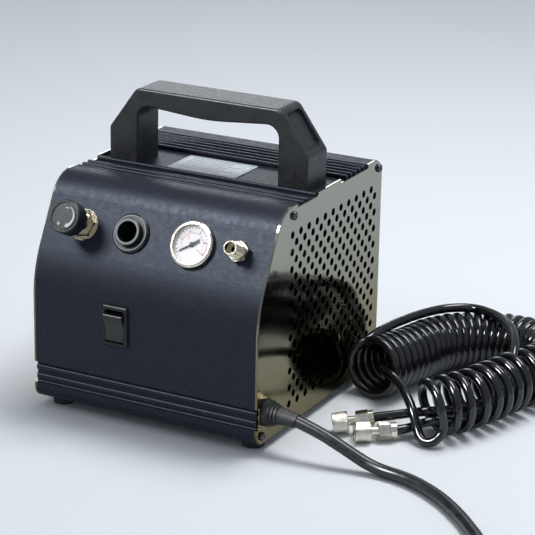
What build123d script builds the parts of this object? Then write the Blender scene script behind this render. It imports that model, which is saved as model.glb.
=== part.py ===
"""Small airbrush compressor: extruded case between two perforated end plates, carrying handle,
regulator, gauge, air outlet, motor-driven piston pump, mains cord and coiled air hose."""

import os
from math import cos, pi, radians, sin, tan

from build123d import *

os.makedirs("parts", exist_ok=True)

# ---------------------------------------------------------------- driving dimensions, millimetres
case_width = 165.0  # over the end plates
case_depth = 172.6
case_height = 146.4  # shell alone, without the feet
foot_height = 6.2
wall = 2.5
end_plate_thickness = 1.5
shell_length = case_width - 2 * end_plate_thickness

panel_lean = 27.5  # degrees from vertical
panel_bend_height = 87.6  # where the front wall would meet the leaning panel
corner_radius = 8.0
bend_radius = 70.0
shoulder_radius = 22.0
rear_radius = 11.0

top_floor = 143.4  # floor of the sunk band on top
top_band = (49.5, 150.0)
top_rib_ys = (52.5, 58.9, 65.3, 122.4, 128.6, 134.8, 141.0, 147.2)
rib_width = 3.2
lip_y = 77.4
fitting_line = 119.2  # height of the front fittings up the case

knob_x, holder_x, gauge_x, outlet_x = -53.5, -18.0, 26.8, 60.5
switch_x = -20.0
knob_radius = 10.9
knob_length = 10.0
knob_reach = 26.0  # knob face above the panel
knob_edge = 0.8

hole_diameter = 5.0
hole_pitch = 8.0  # staggered at 45 degrees
hole_columns, hole_rows = 11, 21
first_hole = (43.3, 127.6)

motor_y, motor_z = 92.0, 54.0
throw = 4.0  # crank throw, half of the stroke
rod_length = 36.0
bore_radius = 16.0
running = 0.05  # radial clearance of a shaft in its hole
pump_x = -57.5  # cylinder axis

mains_length = 1800.0

cord_diameter = 8.0
hose_diameter = 6.2
hose_coil_diameter = 39.6

# ---------------------------------------------------------------- frame
lean = radians(panel_lean)
panel_y = (fitting_line - panel_bend_height) * tan(lean)
knob_overhang = knob_reach * cos(lean) + (knob_radius - knob_edge) * sin(lean) - panel_y
front_y = -(case_depth - knob_overhang) / 2


def at(x, y, z):
    """Point given by its distance behind the front wall and above the case's underside."""
    return Vector(x, front_y + y, foot_height + z)


def side_plane(x):
    """Plane across the case, its first axis to the rear and its second one up."""
    return Plane(origin=at(x, 0, 0), x_dir=(0, 1, 0), z_dir=(1, 0, 0))


def level_plane(z, x=0.0, y=0.0):
    return Plane(origin=at(x, y, z), x_dir=(1, 0, 0), z_dir=(0, 0, 1))


def front_plane(x, z, out=0.0):
    """Plane parallel to the front wall, facing forwards."""
    return Plane(origin=at(x, -out, z), x_dir=(1, 0, 0), z_dir=(0, -1, 0))


def panel_plane(x, out=0.0, rise=0.0):
    """Plane parallel to the leaning panel, at a height out above it, facing the user."""
    y = panel_y + rise * sin(lean) - out * cos(lean)
    z = fitting_line + rise * cos(lean) + out * sin(lean)
    return Plane(origin=at(x, y, z), x_dir=(1, 0, 0), z_dir=(0, -cos(lean), sin(lean)))


def finish(part, name):
    part.label = name
    export_step(part, f"parts/{name}.step")


def case_face(inset, top, mode=Mode.ADD):
    """Side profile of the case, moved inwards by inset and closed at height top."""
    run = (top - panel_bend_height + inset * sin(lean)) / cos(lean)
    corners = [
        (inset, inset),
        (inset, panel_bend_height - inset * tan(lean / 2)),
        (inset * cos(lean) + run * sin(lean), top),
        (case_depth - inset, top),
        (case_depth - inset, inset),
    ]
    radii = [corner_radius, bend_radius, shoulder_radius, rear_radius, corner_radius]
    with BuildLine() as outline:
        FilletPolyline(*corners, radius=[r - inset for r in radii], close=True)
    make_face(outline.edges(), mode=mode)


def ring(plane, outer, inner, length):
    """Tube, washer or rod standing on plane, in the current part."""
    with BuildSketch(plane) as section:
        Circle(outer)
        if inner:
            Circle(inner, mode=Mode.SUBTRACT)
    extrude(section.sketch, amount=length)


# ---------------------------------------------------------------- case
plate_screws = [(44.4, 140.0), (167.0, 140.0), (6.8, 5.8), (165.8, 5.8)]
boss_radius = 3.9
groove_zone = (11.4, 25.7)
groove_depth = 2.2
front_rib_zs = (15.5, 21.6)
lip_end = 22.0  # the shell's bottom lips end here
top_screws = [(x, y) for x in (-62.8, 62.8) for y in (87.0, 100.0)]
foot_places = [(x, y) for x in (-71.0, 71.0) for y in (17.6, case_depth - 17.6)]
holder_radius = 8.95
gauge_can_radius = 13.6
neck_radius = 7.0
outlet_thread_radius = 9.73 / 2
outlet_rise = 0.9  # the outlet sits a little above the other fittings
switch_opening = (16.6, 24.6)
switch_z = 61.8
gland_place = (13.0, 19.4)
gland_neck = 6.4

with BuildPart() as case_shell:
    with BuildSketch(side_plane(-shell_length / 2)):
        case_face(0, case_height)
        band_middle = sum(top_band) / 2
        with Locations((band_middle, top_floor + 5)):
            Rectangle(top_band[1] - top_band[0], 10, mode=Mode.SUBTRACT)
        rib_height = case_height - 0.2 - top_floor
        with Locations(*[(y, top_floor + 0.4) for y in (*top_rib_ys, lip_y)]):
            RectangleRounded(rib_width, 2 * (rib_height - 0.4), 1.1)
        groove_middle = sum(groove_zone) / 2
        with Locations((0, groove_middle)):
            RectangleRounded(2 * groove_depth, groove_zone[1] - groove_zone[0], 0.8, mode=Mode.SUBTRACT)
        with Locations(*[(groove_depth, z) for z in front_rib_zs]):
            RectangleRounded(2 * (groove_depth - 0.6), 3.6, 1.1)
        case_face(wall, top_floor - wall, mode=Mode.SUBTRACT)
        with Locations((groove_depth + wall / 2, groove_middle)):
            RectangleRounded(wall, groove_zone[1] - groove_zone[0] + 2 * wall, 0.8)
        with Locations((case_depth / 2, 0)):
            Rectangle(case_depth - 2 * lip_end, 4 * wall, mode=Mode.SUBTRACT)
        with Locations(*plate_screws):
            Circle(boss_radius)
        with Locations(*plate_screws):
            Circle(1.25, mode=Mode.SUBTRACT)
    extrude(amount=shell_length)
    for x, radius, rise in [
        (knob_x, neck_radius, 0),
        (holder_x, holder_radius, 0),
        (gauge_x, gauge_can_radius, 0),
        (outlet_x, outlet_thread_radius, outlet_rise),
    ]:
        with BuildSketch(panel_plane(x, 6, rise)):
            Circle(radius)
        extrude(amount=-14, mode=Mode.SUBTRACT)
    with BuildSketch(front_plane(switch_x, switch_z, 1)):
        Rectangle(*switch_opening)
    extrude(amount=-6, mode=Mode.SUBTRACT)
    with BuildSketch(level_plane(top_floor + 1)):
        with Locations(*top_screws):
            Circle(2.3)
    extrude(amount=-6, mode=Mode.SUBTRACT)
    with BuildSketch(level_plane(-1)):
        with Locations(*foot_places):
            Circle(2.1)
    extrude(amount=6, mode=Mode.SUBTRACT)
finish(case_shell.part, "case_shell")

base_thickness = 2.0
with BuildPart() as base_plate:
    with BuildSketch(level_plane(wall)):
        with Locations((0, case_depth / 2)):
            RectangleRounded(shell_length - 1, case_depth - 24, 3)
        with Locations(*foot_places):
            Circle(2.1, mode=Mode.SUBTRACT)
        with Locations((20, 46), (20, 136)):
            with GridLocations(9, 0, 7, 1):
                SlotOverall(14, 4, rotation=90, mode=Mode.SUBTRACT)
    extrude(amount=base_thickness)
finish(base_plate.part, "base_plate")


def end_plate(side):
    """Perforated plate; side is +1 at the cord's end and -1 at the other."""
    notches = [
        (0.0, groove_zone, 3.2),
        (64.1, (144.1, 150.0), 14.3),
        (131.0, (143.9, 150.0), 20.2),
    ]
    inner = side * shell_length / 2
    with BuildPart() as plate:
        with BuildSketch(side_plane(inner)):
            case_face(0, case_height)
            for y, (low, high), half in notches:
                with Locations((y, (low + high) / 2)):
                    RectangleRounded(2 * half, high - low, 0.6, mode=Mode.SUBTRACT)
            row_step = hole_pitch / 2**0.5
            with Locations(
                *[
                    (first_hole[0] + column * 2 * row_step + (row % 2) * row_step, first_hole[1] - row * row_step)
                    for row in range(hole_rows)
                    for column in range(hole_columns)
                ]
            ):
                Circle(hole_diameter / 2, mode=Mode.SUBTRACT)
            with Locations(*plate_screws):
                Circle(1.6, mode=Mode.SUBTRACT)
            if side > 0:
                with Locations(gland_place):
                    Circle(gland_neck, mode=Mode.SUBTRACT)
        extrude(amount=side * end_plate_thickness)
        face = plate.faces().filter_by(Axis.X).sort_by(Axis.X)[-1 if side > 0 else 0]
        chamfer(face.outer_wire().edges(), 0.3)
    return plate.part


finish(end_plate(-1), "end_plate_left")
finish(end_plate(1), "end_plate_right")

head_radius, head_height = 2.75, 2.0


def pan_screw(plane, shank_radius, shank_length, radius=head_radius, height=head_height):
    """Cross-head screw whose head stands on plane and whose shank goes into it."""
    with BuildPart() as screw:
        with BuildSketch(plane):
            Circle(radius)
        extrude(amount=height)
        top = screw.faces().sort_by(Axis(plane.origin, plane.z_dir))[-1]
        fillet(top.edges(), 0.6 * height)
        with BuildSketch(plane):
            Circle(shank_radius)
        extrude(amount=-shank_length)
        with BuildSketch(plane.offset(height)):
            Rectangle(1.05 * radius, 0.22 * radius)
            Rectangle(0.22 * radius, 1.05 * radius)
        extrude(amount=-0.55 * height, mode=Mode.SUBTRACT)
    return screw.part


with BuildPart() as end_plate_screws:
    for side in (-1, 1):
        for y, z in plate_screws:
            place = Plane(origin=at(side * case_width / 2, y, z), x_dir=(0, 1, 0), z_dir=(side, 0, 0))
            add(pan_screw(place, 1.2, 9))
finish(end_plate_screws.part, "end_plate_screws")

foot_radius = 8.0
with BuildPart() as feet:
    for x, y in foot_places:
        with BuildSketch(level_plane(-foot_height, x, y)):
            Circle(foot_radius - 0.9)
        with BuildSketch(level_plane(-1.5, x, y)):
            Circle(foot_radius)
        loft()
        ring(level_plane(-1.5, x, y), foot_radius, 0, 1.5)
        with BuildSketch(level_plane(-foot_height, x, y)):
            Circle(4.2)
        extrude(amount=3.2, mode=Mode.SUBTRACT)
        with BuildSketch(level_plane(-foot_height, x, y)):
            Circle(2.1)
        extrude(amount=foot_height, mode=Mode.SUBTRACT)
finish(feet.part, "feet")

with BuildPart() as foot_screws:
    for x, y in foot_places:
        seat = Plane(origin=at(x, y, 3.2 - foot_height), x_dir=(1, 0, 0), z_dir=(0, 0, -1))
        add(pan_screw(seat, 2.0, foot_height + 4.5, 3.6, 2.2))
        ring(level_plane(wall + base_thickness, x, y), 3.8, 0, 2.6)
finish(foot_screws.part, "foot_screws")

# ---------------------------------------------------------------- handle and label
handle_front, handle_depth = 79.5, 27.8
handle_half, handle_top = 73.6, 195.5
handle_knee = 167.0  # the outer corners start to lean in here
handle_top_half = 53.0
grip_opening = [(52.0, top_floor), (52.0, 185.2), (0.0, 180.4), (-52.0, 184.4), (-52.0, top_floor)]
handle_plane = front_plane(0, 0, -handle_front)

with BuildPart() as handle:
    with BuildSketch(handle_plane):
        with BuildLine():
            FilletPolyline(
                (-handle_half, top_floor),
                (-handle_half, handle_knee),
                (-handle_top_half, handle_top),
                (handle_top_half, handle_top),
                (handle_half, handle_knee),
                (handle_half, top_floor),
                radius=[0, 4, 7, 7, 4, 0],
                close=True,
            )
        make_face()
        with BuildLine() as opening_line:
            FilletPolyline(*grip_opening, radius=[0, 8.5, 160, 8.5, 0], close=True)
        make_face(opening_line.edges(), mode=Mode.SUBTRACT)
    extrude(amount=-handle_depth)
    end_faces = handle.faces().filter_by(Axis.Y)
    fillet([e for f in end_faces for e in f.edges() if e.center().Z > foot_height + top_floor + 1], 1.6)
    chamfer_run = (handle_half - handle_top_half, handle_top - handle_knee)
    for side in (-1, 1):
        middle = at(
            side * (handle_half - chamfer_run[0] / 2),
            handle_front + handle_depth / 2,
            handle_knee + chamfer_run[1] / 2,
        )
        slope = Plane(origin=middle, x_dir=(0, 1, 0), z_dir=(side * chamfer_run[1], 0, chamfer_run[0]))
        with BuildSketch(slope):
            RectangleRounded(handle_depth - 8.4, 27, 2.5)
        extrude(amount=-2.2, mode=Mode.SUBTRACT)
    with BuildSketch(level_plane(top_floor)):
        with Locations(*top_screws):
            Circle(1.7)
    extrude(amount=15, mode=Mode.SUBTRACT)
finish(handle.part, "handle")

with BuildPart() as handle_screws:
    for x, y in top_screws:
        below = Plane(origin=at(x, y, top_floor - wall - 1), x_dir=(1, 0, 0), z_dir=(0, 0, -1))
        add(pan_screw(below, 1.7, 15, 3.9, 2.4))
        ring(level_plane(top_floor - wall - 1, x, y), 5.0, 1.7, 1.0)
finish(handle_screws.part, "handle_screws")

label_box = (-32.8, 18.4, 85.0, 117.0)
with BuildPart() as label_plate:
    with BuildSketch(level_plane(top_floor)):
        with Locations(((label_box[0] + label_box[1]) / 2, (label_box[2] + label_box[3]) / 2)):
            RectangleRounded(label_box[1] - label_box[0], label_box[3] - label_box[2], 1.0)
    extrude(amount=0.5)
finish(label_plate.part, "label_plate")

# ---------------------------------------------------------------- pressure regulator
screw_radius = 3.0
knob_base = knob_reach - knob_length
neck_end = knob_base - 0.5
bonnet_depth, body_depth = 16.0, 34.0

with BuildPart() as regulator_bonnet:
    ring(panel_plane(knob_x, -bonnet_depth), 13.0, 9.5, bonnet_depth - wall - 3)
    ring(panel_plane(knob_x, -wall - 3), 13.0, screw_radius + running, 3)
    ring(panel_plane(knob_x, -wall), neck_radius, screw_radius + running, neck_end + wall)
finish(regulator_bonnet.part, "regulator_bonnet")

with BuildPart() as regulator_nut:
    with BuildSketch(panel_plane(knob_x)):
        Circle(10.4)
        Circle(neck_radius, mode=Mode.SUBTRACT)
    extrude(amount=0.7)
    with BuildSketch(panel_plane(knob_x, 0.7)):
        RegularPolygon(8.5, 6, major_radius=False, rotation=12)
        Circle(neck_radius, mode=Mode.SUBTRACT)
    extrude(amount=4.0)
finish(regulator_nut.part, "regulator_nut")

with BuildPart() as adjusting_screw:
    ring(panel_plane(knob_x, -9), screw_radius, 0, knob_base + 4.5 + 9)
    with BuildSketch(panel_plane(knob_x, -9)):
        Circle(6.0)
    extrude(amount=1.6)
finish(adjusting_screw.part, "adjusting_screw")

with BuildPart() as regulator_knob:
    with BuildSketch(panel_plane(knob_x, knob_base)):
        Circle(knob_radius)
    extrude(amount=knob_length)
    rim = regulator_knob.faces().sort_by(Axis(panel_plane(knob_x).origin, panel_plane(knob_x).z_dir))[-1]
    chamfer(rim.edges(), knob_edge)
    ring_cut = panel_plane(knob_x, knob_reach)
    with BuildSketch(ring_cut):
        Circle(9.4)
        Circle(8.3, mode=Mode.SUBTRACT)
    extrude(amount=-0.8, mode=Mode.SUBTRACT)
    with BuildSketch(panel_plane(knob_x, knob_base)):
        Circle(screw_radius + running)
    extrude(amount=7.6, mode=Mode.SUBTRACT)
finish(regulator_knob.part, "regulator_knob")

with BuildPart() as regulator_body:
    with BuildSketch(panel_plane(knob_x, -bonnet_depth)):
        RectangleRounded(26, 26, 3)
    extrude(amount=bonnet_depth - body_depth)
    with BuildSketch(panel_plane(knob_x, -bonnet_depth)):
        Circle(9.5)
    extrude(amount=-1.2, mode=Mode.SUBTRACT)
    with BuildSketch(panel_plane(knob_x, -body_depth)):
        Circle(3.0)
    extrude(amount=8, mode=Mode.SUBTRACT)
finish(regulator_body.part, "regulator_body")

with BuildPart() as regulator_spring:
    for turn in range(4):
        with BuildSketch(panel_plane(knob_x, -bonnet_depth + 0.2 + 1.6 * turn)):
            Circle(7.0)
            Circle(4.6, mode=Mode.SUBTRACT)
        extrude(amount=1.0)
    for turn in range(3):
        with BuildSketch(panel_plane(knob_x, -bonnet_depth + 1.2 + 1.6 * turn)):
            with Locations((5.8 * (-1) ** turn, 0)):
                Circle(0.9)
        extrude(amount=0.6)
finish(regulator_spring.part, "regulator_spring")

# ---------------------------------------------------------------- pressure gauge
bezel_radius, bezel_height = 15.2, 4.2
dial_radius = 12.6
can_depth = 22.0
spindle_radius = 0.6
pipe_radius = 3.0  # air pipe that runs across behind the gauge
pipe_y, pipe_z = 33.7, 94.0
tee_rise = 4.5

with BuildPart() as gauge_case:
    ring(panel_plane(gauge_x, -can_depth), gauge_can_radius, 0, can_depth)
    with BuildSketch(panel_plane(gauge_x)):
        Circle(bezel_radius)
    extrude(amount=bezel_height)
    bezel_top = gauge_case.faces().sort_by(Axis(panel_plane(gauge_x).origin, panel_plane(gauge_x).z_dir))[-1]
    fillet(bezel_top.edges(), 1.6)
    with BuildSketch(panel_plane(gauge_x, bezel_height)):
        Circle(dial_radius)
    extrude(amount=-bezel_height - 5, mode=Mode.SUBTRACT)
    with BuildSketch(panel_plane(gauge_x, -5)):
        Circle(spindle_radius + running)
    extrude(amount=-6, mode=Mode.SUBTRACT)
    ring(level_plane(pipe_z + tee_rise, gauge_x, pipe_y), 3.6, 0, 8)
finish(gauge_case.part, "gauge_case")

with BuildPart() as gauge_dial:
    ring(panel_plane(gauge_x, 0.0), dial_radius, 1.2, 0.8)
    ring(panel_plane(gauge_x, -5), dial_radius, dial_radius - 1.2, 5)
finish(gauge_dial.part, "gauge_dial")

zero_angle = 213.0  # where the pointer rests, counter-clockwise from the right
with BuildPart() as gauge_pointer:
    with BuildSketch(panel_plane(gauge_x, 1.4)):
        Circle(1.7)
        with Locations(Rotation(0, 0, zero_angle)):
            with Locations((4.6, 0)):
                Trapezoid(9.4, 0.9, 88, rotation=0)
            with Locations((-3.6, 0)):
                Trapezoid(4.6, 1.9, 80)
    extrude(amount=0.4)
    ring(panel_plane(gauge_x, -9), spindle_radius, 0, 11.4)
finish(gauge_pointer.part, "gauge_pointer")

with BuildPart() as gauge_lens:
    ring(panel_plane(gauge_x, 2.7), dial_radius, 0, 0.8)
finish(gauge_lens.part, "gauge_lens")

# ---------------------------------------------------------------- air outlet and airbrush holder
outlet_hex = 12.6  # across flats
outlet_hex_height = 4.6
outlet_reach = 16.0
outlet_inner = 14.0

with BuildPart() as outlet_fitting:
    with BuildSketch(panel_plane(outlet_x, 0, outlet_rise)):
        RegularPolygon(outlet_hex / 2, 6, major_radius=False, rotation=20)
    extrude(amount=outlet_hex_height)
    ring(panel_plane(outlet_x, outlet_hex_height, outlet_rise), outlet_thread_radius, 0, outlet_reach - outlet_hex_height)
    ring(panel_plane(outlet_x, -outlet_inner, outlet_rise), outlet_thread_radius, 0, outlet_inner)
    outlet_axis = Axis(panel_plane(outlet_x).origin, panel_plane(outlet_x).z_dir)
    chamfer(outlet_fitting.faces().sort_by(outlet_axis)[-1].edges(), 0.5)
    with BuildSketch(panel_plane(outlet_x, outlet_reach, outlet_rise)):
        Circle(3.7)
    extrude(amount=-6.5, mode=Mode.SUBTRACT)
    with BuildSketch(panel_plane(outlet_x, outlet_reach, outlet_rise)):
        Circle(2.2)
    extrude(amount=-outlet_reach - 8, mode=Mode.SUBTRACT)
finish(outlet_fitting.part, "outlet_fitting")

with BuildPart() as outlet_locknut:
    with BuildSketch(panel_plane(outlet_x, -wall, outlet_rise)):
        RegularPolygon(7.0, 6, major_radius=False, rotation=5)
        Circle(outlet_thread_radius, mode=Mode.SUBTRACT)
    extrude(amount=-4)
finish(outlet_locknut.part, "outlet_locknut")

holder_flange, holder_reach, holder_bore = 12.8, 6.4, 6.85
with BuildPart() as airbrush_holder:
    with BuildSketch(panel_plane(holder_x)):
        Circle(holder_flange)
    extrude(amount=2.6)
    holder_axis = Axis(panel_plane(holder_x).origin, panel_plane(holder_x).z_dir)
    chamfer(airbrush_holder.faces().sort_by(holder_axis)[-1].edges(), 1.1)
    ring(panel_plane(holder_x, 2.6), holder_radius, 0, holder_reach - 2.6)
    chamfer(airbrush_holder.faces().sort_by(holder_axis)[-1].edges(), 0.5)
    ring(panel_plane(holder_x, -29), holder_radius, 0, 29)
    with BuildSketch(panel_plane(holder_x, holder_reach)):
        Circle(holder_bore)
    extrude(amount=-holder_reach - 26.6, mode=Mode.SUBTRACT)
finish(airbrush_holder.part, "airbrush_holder")

# ---------------------------------------------------------------- power switch
bezel_size = (18.6, 27.0)
rocker_size = (13.4, 20.8)
rocker_tilt = 9.0  # degrees either side of level
rocker_pivot = 4.0  # behind the front wall
with BuildPart() as power_switch:
    with BuildSketch(front_plane(switch_x, switch_z)):
        RectangleRounded(*bezel_size, 1.2)
    extrude(amount=2.0)
    chamfer(power_switch.faces().sort_by(Axis.Y)[0].edges(), 0.7)
    with BuildSketch(front_plane(switch_x, switch_z)):
        Rectangle(*switch_opening)
    extrude(amount=-22)
    with BuildSketch(front_plane(switch_x, switch_z, 2)):
        RectangleRounded(rocker_size[0] + 0.6, rocker_size[1] + 1.2, 0.6)
    extrude(amount=-14, mode=Mode.SUBTRACT)
    with BuildSketch(front_plane(switch_x, switch_z, -22)):
        with GridLocations(0, 8, 1, 2):
            Rectangle(6.3, 0.8)
    extrude(amount=-8)
finish(power_switch.part, "power_switch")

with BuildPart() as power_rocker:
    pivot = at(switch_x, rocker_pivot, switch_z)
    rocker_side = Plane(origin=pivot, x_dir=(0, 1, 0), z_dir=(1, 0, 0)).rotated((rocker_tilt, 0, 0))
    with BuildSketch(rocker_side.offset(-rocker_size[0] / 2)):
        half = rocker_size[1] / 2 - 0.9
        with BuildLine():
            FilletPolyline(
                (5.5, 2.5), (0.5, half), (-7.8, half), (-5.2, 0), (-7.8, -half), (0.5, -half), (5.5, -2.5),
                radius=[0.5, 1.0, 1.2, 22, 1.2, 1.0, 0.5],
                close=True,
            )
        make_face()
    extrude(amount=rocker_size[0])
finish(power_rocker.part, "power_rocker")

# ---------------------------------------------------------------- motor
stack = (-12.0, 32.0)  # laminated core, left and right end
motor_half = 42.0
rotor_radius, air_gap = 23.8, 0.4
shaft_radius = 4.0
bearing_radius, bearing_width = 11.0, 7.0


def across(x, y=motor_y, z=motor_z):
    """Plane across the motor's axis, centred on it unless told otherwise."""
    return Plane(origin=at(x, y, z), x_dir=(0, 1, 0), z_dir=(1, 0, 0))


with BuildPart() as motor_stator:
    with BuildSketch(across(stack[0])):
        RectangleRounded(2 * motor_half, 2 * motor_half, 16)
        Circle(rotor_radius + air_gap, mode=Mode.SUBTRACT)
        with GridLocations(70, 70, 2, 2):
            Circle(2.2, mode=Mode.SUBTRACT)
    extrude(amount=stack[1] - stack[0])
finish(motor_stator.part, "motor_stator")

with BuildPart() as motor_windings:
    for start, length in [(stack[0] - 10, 10), (stack[1], 10)]:
        ring(across(start), 36, 26, length)
    end_edges = motor_windings.edges().filter_by(GeomType.CIRCLE)
    fillet([e for e in end_edges if abs(e.center().X - 10) > 30], 2.5)
finish(motor_windings.part, "motor_windings")

with BuildPart() as motor_rotor:
    ring(across(stack[0] + 0.5), rotor_radius, shaft_radius, stack[1] - stack[0] - 1)
    ring(across(stack[0] - 5), rotor_radius - 3, shaft_radius + 6, 5.5)
    ring(across(stack[1] - 0.5), rotor_radius - 3, shaft_radius + 6, 5.5)
finish(motor_rotor.part, "motor_rotor")

web_x = (-52.0, -46.0)
fan_x = (57.0, 71.0)
with BuildPart() as motor_shaft:
    ring(across(web_x[0] + 0.5), shaft_radius, 0, fan_x[1] - web_x[0] - 1)
finish(motor_shaft.part, "motor_shaft")


def bell(floor_x, open_x, name):
    """Cup that carries one bearing: its floor at floor_x, its rim on the core at open_x."""
    inward = 1 if open_x > floor_x else -1
    with BuildPart() as cup:
        with BuildSketch(across(floor_x)):
            RectangleRounded(2 * motor_half, 2 * motor_half, 16)
            Circle(bearing_radius - 3, mode=Mode.SUBTRACT)
            with PolarLocations(26, 6, start_angle=30):
                SlotOverall(12, 7, rotation=90, mode=Mode.SUBTRACT)
        extrude(amount=inward * 3)
        with BuildSketch(across(floor_x)):
            RectangleRounded(2 * motor_half, 2 * motor_half, 16)
            Circle(motor_half - 3.5, mode=Mode.SUBTRACT)
        extrude(amount=inward * abs(open_x - floor_x))
        with BuildSketch(across(floor_x + inward * 3)):
            Circle(bearing_radius + 3)
            Circle(bearing_radius, mode=Mode.SUBTRACT)
        extrude(amount=inward * bearing_width)
    finish(cup.part, name)


bell_floors = (stack[0] - 21, stack[1] + 21)
bell(bell_floors[0], stack[0], "motor_bell_left")
bell(bell_floors[1], stack[1], "motor_bell_right")

with BuildPart() as motor_bearings:
    for x in (bell_floors[0] + 3, bell_floors[1] - 3 - bearing_width):
        ring(across(x), bearing_radius, shaft_radius + running, bearing_width)
        with BuildSketch(across(x)):
            Circle(bearing_radius - 2)
            Circle(shaft_radius + 2, mode=Mode.SUBTRACT)
        extrude(amount=0.6, mode=Mode.SUBTRACT)
finish(motor_bearings.part, "motor_bearings")

fan_radius = 36.0
with BuildPart() as cooling_fan:
    ring(across(fan_x[0]), 9, shaft_radius, fan_x[1] - fan_x[0])
    ring(across(fan_x[0]), fan_radius, shaft_radius + 1, 1.6)
    with BuildSketch(across(fan_x[0])):
        with PolarLocations((fan_radius + 8) / 2, 9):
            Rectangle(fan_radius - 8, 1.8, rotation=14)
    extrude(amount=fan_x[1] - fan_x[0] - 1)
finish(cooling_fan.part, "cooling_fan")

# ---------------------------------------------------------------- crank and pump, at top dead centre
pin_radius = 5.0
rod_half = 3.5
wrist_z = motor_z + throw + rod_length
with BuildPart() as crank_web:
    ring(across(web_x[0]), 15, shaft_radius, web_x[1] - web_x[0])
    ring(across(pump_x - rod_half - 1, motor_y, motor_z + throw), pin_radius, 0, web_x[0] - pump_x + rod_half + 1)
finish(crank_web.part, "crank_web")

with BuildPart() as crankcase_bracket:
    with BuildSketch(across(bell_floors[0] - 3, motor_y, 0)):
        with Locations((0, 45.5)):
            Rectangle(56, 67)
        with Locations((0, motor_z)):
            Circle(bearing_radius - 3, mode=Mode.SUBTRACT)
    extrude(amount=3)
    with BuildSketch(level_plane(75)):
        with Locations(((pump_x - 20.5 + bell_floors[0]) / 2, motor_y)):
            Rectangle(bell_floors[0] - pump_x + 20.5, 46)
        with Locations((pump_x, motor_y)):
            Circle(bore_radius + 1, mode=Mode.SUBTRACT)
    extrude(amount=4)
    for y in (motor_y - 28, motor_y + 25):
        with BuildSketch(front_plane(0, 0, -y)):
            with BuildLine() as web_line:
                Polyline(
                    (bell_floors[0] - 3, 75), (bell_floors[0] - 3, 40), (pump_x - 14, 75), close=True
                )
            make_face(web_line.edges())
        extrude(amount=-3)
finish(crankcase_bracket.part, "crankcase_bracket")

with BuildPart() as connecting_rod:
    big_end = across(pump_x - rod_half, motor_y, motor_z + throw)
    small_end = across(pump_x - rod_half, motor_y, wrist_z)
    with BuildSketch(big_end):
        Circle(9)
        with Locations((0, rod_length)):
            Circle(5)
        with Locations((0, rod_length / 2)):
            Rectangle(6, rod_length)
        Circle(pin_radius + running, mode=Mode.SUBTRACT)
    extrude(amount=2 * rod_half)
    ring(across(pump_x - 7, motor_y, wrist_z), 2.6, 0, 14)
finish(connecting_rod.part, "connecting_rod")

with BuildPart() as piston:
    ring(level_plane(wrist_z - 6, pump_x, motor_y), bore_radius - 0.1, bore_radius - 3, 19)
    ring(level_plane(wrist_z + 13, pump_x, motor_y), bore_radius - 0.1, 0, 4)
    for z in (wrist_z + 9.5, wrist_z + 13.2):
        with BuildSketch(level_plane(z, pump_x, motor_y)):
            Circle(bore_radius + 1)
            Circle(bore_radius - 1.4, mode=Mode.SUBTRACT)
        extrude(amount=1.4, mode=Mode.SUBTRACT)
    for side in (-1, 1):
        boss = across(pump_x + side * 8.5, motor_y, wrist_z)
        ring(boss, 4.4, 2.6, side * (bore_radius - 2 - 8.5))
finish(piston.part, "piston")

cylinder_top = wrist_z + 17.6
with BuildPart() as cylinder:
    ring(level_plane(79, pump_x, motor_y), 18.6, bore_radius, cylinder_top - 79)
    for fin in range(6):
        ring(level_plane(82 + 5 * fin, pump_x, motor_y), 20.4, bore_radius, 2)
finish(cylinder.part, "cylinder")

head_side, head_top = 41.0, cylinder_top + 19
head_bolt_pitch = 32.0
with BuildPart() as valve_plate:
    with BuildSketch(level_plane(cylinder_top, pump_x, motor_y)):
        RectangleRounded(head_side, head_side, 3)
        with Locations((6, 0), (-6, 0)):
            Circle(2, mode=Mode.SUBTRACT)
        with GridLocations(head_bolt_pitch, head_bolt_pitch, 2, 2):
            Circle(2, mode=Mode.SUBTRACT)
    extrude(amount=3)
finish(valve_plate.part, "valve_plate")

with BuildPart() as cylinder_head:
    with BuildSketch(level_plane(cylinder_top + 3, pump_x, motor_y)):
        RectangleRounded(head_side, head_side, 3)
        with GridLocations(head_bolt_pitch, head_bolt_pitch, 2, 2):
            Circle(2, mode=Mode.SUBTRACT)
    extrude(amount=head_top - cylinder_top - 3)
    with BuildSketch(level_plane(head_top, pump_x, motor_y)):
        with GridLocations(0, 5, 1, 4):
            Rectangle(head_side + 2, 2.2)
    extrude(amount=-5, mode=Mode.SUBTRACT)
finish(cylinder_head.part, "cylinder_head")

with BuildPart() as head_bolts:
    for dx in (-head_bolt_pitch / 2, head_bolt_pitch / 2):
        for dy in (-head_bolt_pitch / 2, head_bolt_pitch / 2):
            add(pan_screw(level_plane(head_top, pump_x + dx, motor_y + dy), 1.9, 18, 3.4, 2.6))
finish(head_bolts.part, "head_bolts")

port_z = cylinder_top + 10.5
with BuildPart() as intake_filter:
    filter_end = Plane(
        origin=at(pump_x, motor_y + head_side / 2, port_z), x_dir=(1, 0, 0), z_dir=(0, 1, 0)
    )
    ring(filter_end, 4, 1.5, 5)
    ring(filter_end.offset(5), 9, 1.5, 14)
    ring(filter_end.offset(19), 7.5, 5, 2)
finish(intake_filter.part, "intake_filter")

# ---------------------------------------------------------------- air pipes inside the case


def rod_along(points, radii, radius):
    """Round tube along straight runs joined by tangent arcs, one radius for each inner point."""
    with BuildLine() as route:
        FilletPolyline(*[at(*p) for p in points], radius=radii)
    path = route.wire()
    with BuildSketch(Plane(origin=path @ 0, z_dir=path % 0)) as section:
        Circle(radius)
    sweep(section.sketch, path=path)
    return path.length


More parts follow.
